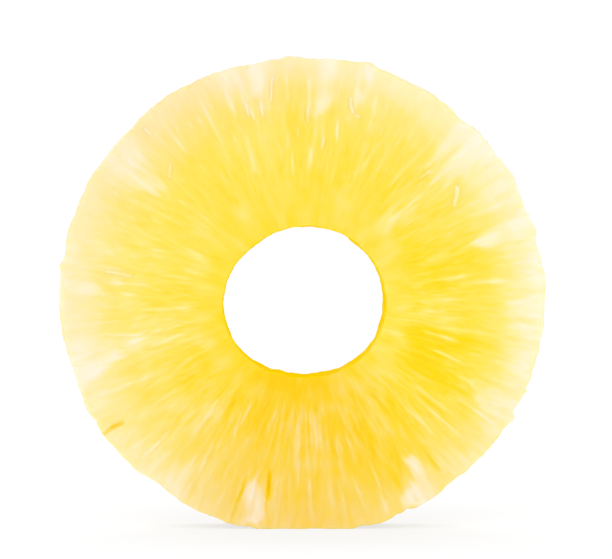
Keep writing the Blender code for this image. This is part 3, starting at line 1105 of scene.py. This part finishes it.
# The sheet is a warm grey that glows a cool white. So it looks plain white, the yellow light that the
# ring throws on it hardly shows, and its shadows stay faint and grey.
FLOOR_GLOW = (0.613, 0.649, 0.690)
FLOOR_GREY = "847f79"
FLOOR_HALF = 1.5  # metres

WORLD_LIGHT = 0.976
BACKDROP = 1.05

# The lights: name, where it stands, strength, how wide it looks in degrees, and whether it lights the
# floor alone.
SUNS = (
    ("key", (-0.3, -1.6, 0.4), 0.38, 60.0, False),
    ("back", (-0.1, 1.6, 0.75), 3.2, 100.0, True),
    ("front", (-0.15, -1.6, 0.75), 3.0, 100.0, True),
)

CAMERA_AZIMUTH = -0.8
CAMERA_ELEVATION = 1.8
CAMERA_DISTANCE = 650.0
SENSOR_WIDTH = 36.0
SEEN_WIDTH = 101.3  # how much of the front face's plane the picture spans
AIM_RIGHT = 0.58  # the camera looks at a point this far right of the ring's axis
AIM_ABOVE = 3.0  # and this far above it


def build_floor():
    """A sheet of acrylic lit from below, as on a light table, so that only faint shadows show."""
    half = FLOOR_HALF
    corners = [(-half, -half, 0), (half, -half, 0), (half, half, 0), (-half, half, 0)]
    mesh = bpy.data.meshes.new("floor")
    mesh.from_pydata(corners, [], [(0, 1, 2, 3)])
    floor = bpy.data.objects.new("floor", mesh)
    bpy.context.scene.collection.objects.link(floor)
    material = bpy.data.materials.new("lit_white_acrylic")
    material.use_nodes = True
    values = {
        "Base Color": to_linear(FLOOR_GREY),
        "Roughness": 0.9,
        "Specular IOR Level": 0.0,
        "Emission Color": (*FLOOR_GLOW, 1.0),
        "Emission Strength": 1.0,
    }
    set_sockets(material.node_tree.nodes["Principled BSDF"], values)
    mesh.materials.append(material)
    return floor


def aim(obj, place, target):
    """Puts a light or a camera at a place and turns it to look at a target."""
    obj.location = place
    obj.rotation_euler = (Vector(target) - Vector(place)).to_track_quat("-Z", "Y").to_euler()


def build_room():
    """A white room, whose walls light the ring and which the camera sees as pure white."""
    world = bpy.context.scene.world or bpy.data.worlds.new("studio")
    bpy.context.scene.world = world
    world.use_nodes = True
    tree = world.node_tree
    tree.nodes.clear()
    seen = add_node(tree, "ShaderNodeLightPath").outputs["Is Camera Ray"]
    levels = {"Value": seen, "To Min": WORLD_LIGHT, "To Max": BACKDROP}
    strength = add_node(tree, "ShaderNodeMapRange", levels).outputs["Result"]
    white = {"Color": (1.0, 1.0, 1.0, 1.0), "Strength": strength}
    background = add_node(tree, "ShaderNodeBackground", white)
    add_node(tree, "ShaderNodeOutputWorld", {"Surface": background.outputs["Background"]})


def build_lights(floor):
    """Wide, soft lights.

    One in front shapes the ring. Two more, behind it and in front, reach the floor alone, so that the
    ring throws soft shadows both ways.
    """
    lit = bpy.data.collections.new("lit_floor")
    lit.objects.link(floor)
    for name, place, energy, spread, floor_only in SUNS:
        light = bpy.data.lights.new(name, "SUN")
        light.energy = energy
        light.angle = np.radians(spread)
        sun = bpy.data.objects.new(name, light)
        bpy.context.scene.collection.objects.link(sun)
        aim(sun, place, (0, 0, 0))
        if floor_only:
            sun.light_linking.receiver_collection = lit


def build_camera():
    """Level with the ring and a little above and left of its middle, with a long lens."""
    axis_height = cad_low.z + (RING_RADIUS - FLAT_DEPTH) * MM
    target = Vector((AIM_RIGHT * MM, -THICKNESS / 2 * MM, axis_height + AIM_ABOVE * MM))
    azimuth, elevation = np.radians(CAMERA_AZIMUTH), np.radians(CAMERA_ELEVATION)
    level = np.cos(elevation)
    back = Vector((np.sin(azimuth) * level, -np.cos(azimuth) * level, np.sin(elevation)))
    camera = bpy.data.cameras.new("camera")
    camera.sensor_width = SENSOR_WIDTH
    camera.lens = SENSOR_WIDTH * CAMERA_DISTANCE / SEEN_WIDTH
    camera.clip_start = 0.01
    camera.clip_end = 20.0
    holder = bpy.data.objects.new("camera", camera)
    bpy.context.scene.collection.objects.link(holder)
    aim(holder, target + back * CAMERA_DISTANCE * MM, target)
    bpy.context.scene.camera = holder


bpy.context.scene.view_settings.view_transform = "Standard"
build_ring()
build_strands()
build_room()
build_lights(build_floor())
build_camera()
